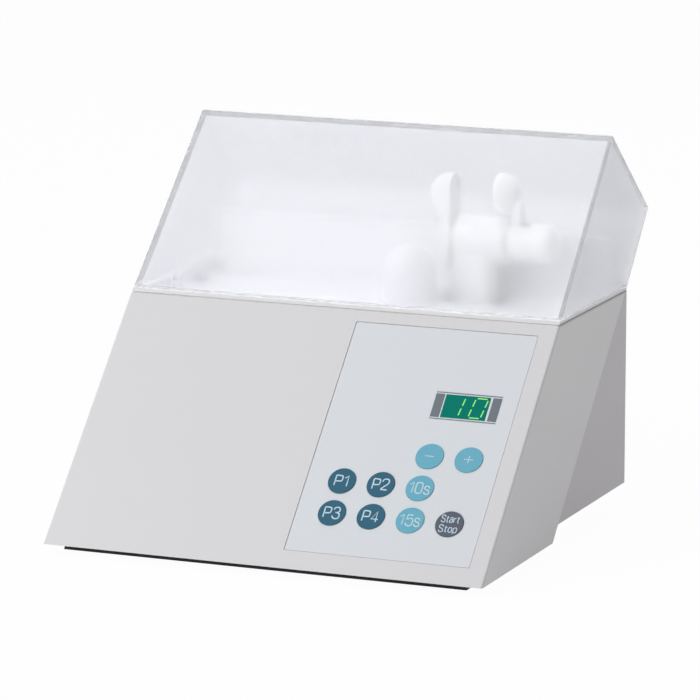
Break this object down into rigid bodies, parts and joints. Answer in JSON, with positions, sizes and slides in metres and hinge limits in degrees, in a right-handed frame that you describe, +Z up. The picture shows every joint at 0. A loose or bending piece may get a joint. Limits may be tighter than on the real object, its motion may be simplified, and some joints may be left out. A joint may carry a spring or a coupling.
{
  "type": "dental amalgamator",
  "caption": "Dental amalgamator: a sloping case with a keypad, and a forked arm that shakes a capsule under a hinged frosted lid.",
  "frame": {"origin": "middle of the whole outline, on the surface that the feet stand on", "axes": "+X to the operator's right, +Y to the back, +Z up"},
  "size_m": [0.22, 0.228, 0.1849],
  "materials": {
    "case_white": "fine moulded gloss",
    "deck_white": "moulded",
    "base_black": "moulded",
    "foot_rubber": "matt",
    "lid_frosted": "frosted, clear edges",
    "overlay_film": "satin film",
    "window_clear": "polished",
    "key_teal": "satin",
    "key_cyan": "satin",
    "key_grey": "satin",
    "arm_nylon": "moulded",
    "steel_screw": "zinc plated",
    "steel_shaft": "ground",
    "spring_steel": "drawn",
    "aluminium_cast": "machined",
    "steel_pressed": "zinc plated",
    "iron_laminated": "laminated",
    "magnet_ferrite": "sintered",
    "coil_copper": "enamelled wire",
    "board_green": "solder mask",
    "part_black": "moulded",
    "display_black": "moulded",
    "brass_blade": "nickel plated",
    "mount_rubber": "matt",
    "fan_plastic": "moulded"
  },
  "bodies": {
    "case": {"appliance_inlet": "part_black", "base_plate": "base_black", "board_screws": "steel_screw", "buzzer": "part_black", "case_screws": "steel_screw", "control_board": "board_green", "cradle_screws": "steel_screw", "deck_screws": "steel_screw", "deck_tray": "deck_white", "display_module": "display_black", "display_window": "window_clear", "front_feet": "foot_rubber", "front_shell": "case_white", "hinge_pins": "steel_shaft", "inlet_blades": "brass_blade", "inlet_screws": "steel_screw", "keypad_overlay": "overlay_film", "lid_switch": "part_black", "motor_bearings": "steel_shaft", "motor_bolts": "steel_screw", "motor_can": "steel_pressed", "motor_cradle": "steel_pressed", "motor_end_bells": "aluminium_cast", "motor_magnets": "magnet_ferrite", "power_board": "board_green", "rear_feet": "foot_rubber", "rear_housing": "case_white", "restraint_springs": "spring_steel", "rocker_frame": "part_black", "smoothing_capacitor": "part_black", "tact_switches": "part_black", "transformer_coil": "coil_copper", "transformer_core": "iron_laminated", "vibration_mounts": "mount_rubber"},
    "lid": {"lid": "lid_frosted"},
    "rotor": {"motor_shaft": "steel_shaft", "rotor_core": "iron_laminated", "cooling_fan": "fan_plastic", "canted_hub": "aluminium_cast", "hub_bearings": "steel_shaft", "hub_circlip": "spring_steel"},
    "arm": {"arm_sleeve": "aluminium_cast", "mixing_arm": "arm_nylon", "arm_screws": "steel_screw", "jaw_barrel": "arm_nylon", "jaw_end_cap": "arm_nylon", "jaw_spring": "spring_steel"},
    "jaw": {"sliding_jaw": "arm_nylon"},
    "switch_plunger": {"lid_switch_plunger": "part_black"},
    "drawer": {"fuse_drawer": "part_black"},
    "rocker": {"power_rocker": "part_black"},
    "key_p1": {"key_p1": "key_teal"},
    "key_p2": {"key_p2": "key_teal"},
    "key_p3": {"key_p3": "key_teal"},
    "key_p4": {"key_p4": "key_teal"},
    "key_10s": {"key_10s": "key_cyan"},
    "key_15s": {"key_15s": "key_cyan"},
    "key_minus": {"key_minus": "key_cyan"},
    "key_plus": {"key_plus": "key_cyan"},
    "key_start_stop": {"key_start_stop": "key_grey"}
  },
  "joints": [
    {"name": "shaft_spin", "type": "hinge", "parent": "case", "child": "rotor", "pos_m": [0.04, 0.04975, 0.055], "axis": [1, 0, 0], "continuous": true},
    {"name": "sleeve_spin", "type": "hinge", "parent": "rotor", "child": "arm", "pos_m": [0.04, 0.04975, 0.055], "axis": [0.9981, -0.061, 0], "continuous": true, "deforming": ["restraint_springs"]},
    {"name": "jaw_slide", "type": "slide", "parent": "arm", "child": "jaw", "axis": [0.9981, -0.061, 0], "range_m": [0, 0.0055], "stiffness_N_per_m": 700, "springref_m": -0.003, "deforming": ["jaw_spring"]},
    {"name": "lid_hinge", "type": "hinge", "parent": "case", "child": "lid", "pos_m": [0, 0.08525, 0.11323], "axis": [-1, 0, 0], "range_deg": [0, 100]},
    {"name": "lid_switch_travel", "type": "slide", "parent": "case", "child": "switch_plunger", "axis": [0, 0, 1], "range_m": [0, 0.0012]},
    {"name": "fuse_drawer_slide", "type": "slide", "parent": "case", "child": "drawer", "axis": [0, 1, 0], "range_m": [0, 0.015]},
    {"name": "power_rocker_tilt", "type": "hinge", "parent": "case", "child": "rocker", "pos_m": [0.08, 0.08045, 0.078], "axis": [-1, 0, 0], "range_deg": [0, 16]},
    {"name": "key_p1_press", "type": "slide", "parent": "case", "child": "key_p1", "axis": [0, 0.7175, -0.6965], "range_m": [0, 0.0005], "stiffness_N_per_m": 1500, "springref_m": -0.0003},
    {"name": "key_p2_press", "type": "slide", "parent": "case", "child": "key_p2", "axis": [0, 0.7175, -0.6965], "range_m": [0, 0.0005], "stiffness_N_per_m": 1500, "springref_m": -0.0003},
    {"name": "key_p3_press", "type": "slide", "parent": "case", "child": "key_p3", "axis": [0, 0.7175, -0.6965], "range_m": [0, 0.0005], "stiffness_N_per_m": 1500, "springref_m": -0.0003},
    {"name": "key_p4_press", "type": "slide", "parent": "case", "child": "key_p4", "axis": [0, 0.7175, -0.6965], "range_m": [0, 0.0005], "stiffness_N_per_m": 1500, "springref_m": -0.0003},
    {"name": "key_10s_press", "type": "slide", "parent": "case", "child": "key_10s", "axis": [0, 0.7175, -0.6965], "range_m": [0, 0.0005], "stiffness_N_per_m": 1500, "springref_m": -0.0003},
    {"name": "key_15s_press", "type": "slide", "parent": "case", "child": "key_15s", "axis": [0, 0.7175, -0.6965], "range_m": [0, 0.0005], "stiffness_N_per_m": 1500, "springref_m": -0.0003},
    {"name": "key_minus_press", "type": "slide", "parent": "case", "child": "key_minus", "axis": [0, 0.7175, -0.6965], "range_m": [0, 0.0005], "stiffness_N_per_m": 1500, "springref_m": -0.0003},
    {"name": "key_plus_press", "type": "slide", "parent": "case", "child": "key_plus", "axis": [0, 0.7175, -0.6965], "range_m": [0, 0.0005], "stiffness_N_per_m": 1500, "springref_m": -0.0003},
    {"name": "key_start_stop_press", "type": "slide", "parent": "case", "child": "key_start_stop", "axis": [0, 0.7175, -0.6965], "range_m": [0, 0.0005], "stiffness_N_per_m": 1500, "springref_m": -0.0003}
  ],
  "couplings": [
    {"joint": "sleeve_spin", "follows": "shaft_spin", "ratio": -1},
    {"joint": "lid_switch_travel", "follows": "lid_hinge", "m_per_rad": 0.000687}
  ]
}
